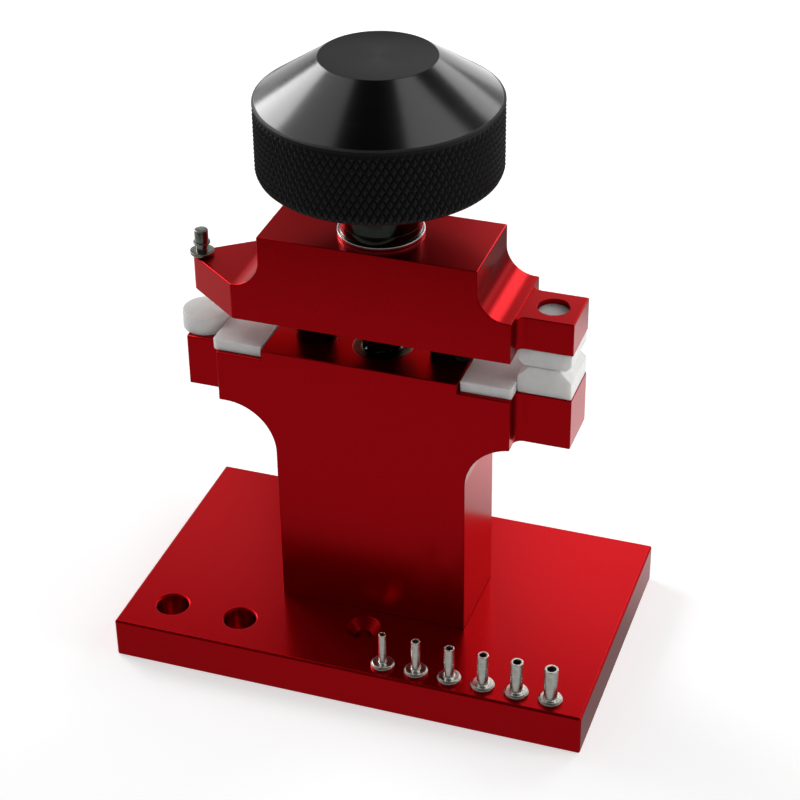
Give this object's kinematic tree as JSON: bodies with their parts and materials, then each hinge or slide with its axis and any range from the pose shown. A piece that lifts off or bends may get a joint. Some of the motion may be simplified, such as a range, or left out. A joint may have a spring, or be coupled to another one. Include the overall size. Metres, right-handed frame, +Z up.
{
  "type": "watch crown tube press",
  "caption": "Small bench press for watch crown tubes: a knurled knob drives a guided jaw down onto a T-shaped post on a base plate with a row of stakes.",
  "frame": {"origin": "middle of the base plate's underside, on the surface that the tool stands on", "axes": "+X to the right, towards the two dies; +Y to the back; +Z up along the spindle, towards the knob"},
  "size_m": [0.1, 0.06, 0.1299],
  "materials": {
    "red_anodised": "satin red anodised",
    "black_anodised": "satin black anodised",
    "nylon": "satin translucent white",
    "polished_steel": "turned and polished",
    "satin_steel": "satin turned",
    "dark_steel": "black oxide",
    "bronze": "turned bronze"
  },
  "bodies": {
    "stand": {"base_plate": "red_anodised", "post": "red_anodised", "post_screws": "dark_steel", "threaded_bush": "bronze", "guide_pillar_left": "polished_steel", "guide_pillar_right": "polished_steel", "pad_left": "nylon", "pad_right": "nylon", "disc_left": "nylon", "die_lower_right": "nylon"},
    "jaw": {"upper_jaw": "red_anodised", "die_upper_right": "nylon", "thrust_washer": "polished_steel"},
    "screw": {"spindle": "polished_steel", "retaining_ring": "dark_steel", "bearing_ring": "polished_steel", "knob_collar": "polished_steel", "knob": "black_anodised"},
    "loose_stake_1": {"stake_1": "satin_steel"},
    "loose_stake_2": {"stake_2": "satin_steel"},
    "loose_stake_3": {"stake_3": "satin_steel"},
    "loose_stake_4": {"stake_4": "satin_steel"},
    "loose_stake_5": {"stake_5": "satin_steel"},
    "loose_stake_6": {"stake_6": "satin_steel"},
    "loose_nose_stake": {"nose_stake": "satin_steel"}
  },
  "joints": [
    {"name": "jaw_slide", "type": "slide", "parent": "stand", "child": "jaw", "axis": [0, 0, 1], "range_m": [0, 0.01]},
    {"name": "knob_turn", "type": "hinge", "parent": "jaw", "child": "screw", "pos_m": [0, -0.0007, 0.1069], "axis": [0, 0, 1], "range_deg": [0, 2900]},
    {"name": "stake_1_lift", "type": "slide", "parent": "stand", "child": "loose_stake_1", "axis": [0, 0, 1], "range_m": [0, 0.015]},
    {"name": "stake_2_lift", "type": "slide", "parent": "stand", "child": "loose_stake_2", "axis": [0, 0, 1], "range_m": [0, 0.015]},
    {"name": "stake_3_lift", "type": "slide", "parent": "stand", "child": "loose_stake_3", "axis": [0, 0, 1], "range_m": [0, 0.015]},
    {"name": "stake_4_lift", "type": "slide", "parent": "stand", "child": "loose_stake_4", "axis": [0, 0, 1], "range_m": [0, 0.015]},
    {"name": "stake_5_lift", "type": "slide", "parent": "stand", "child": "loose_stake_5", "axis": [0, 0, 1], "range_m": [0, 0.015]},
    {"name": "stake_6_lift", "type": "slide", "parent": "stand", "child": "loose_stake_6", "axis": [0, 0, 1], "range_m": [0, 0.015]},
    {"name": "nose_stake_lift", "type": "slide", "parent": "jaw", "child": "loose_nose_stake", "axis": [0, 0, 1], "range_m": [0, 0.015]}
  ],
  "couplings": [
    {"joint": "knob_turn", "follows": "jaw_slide", "rad_per_m": 5026.5}
  ]
}
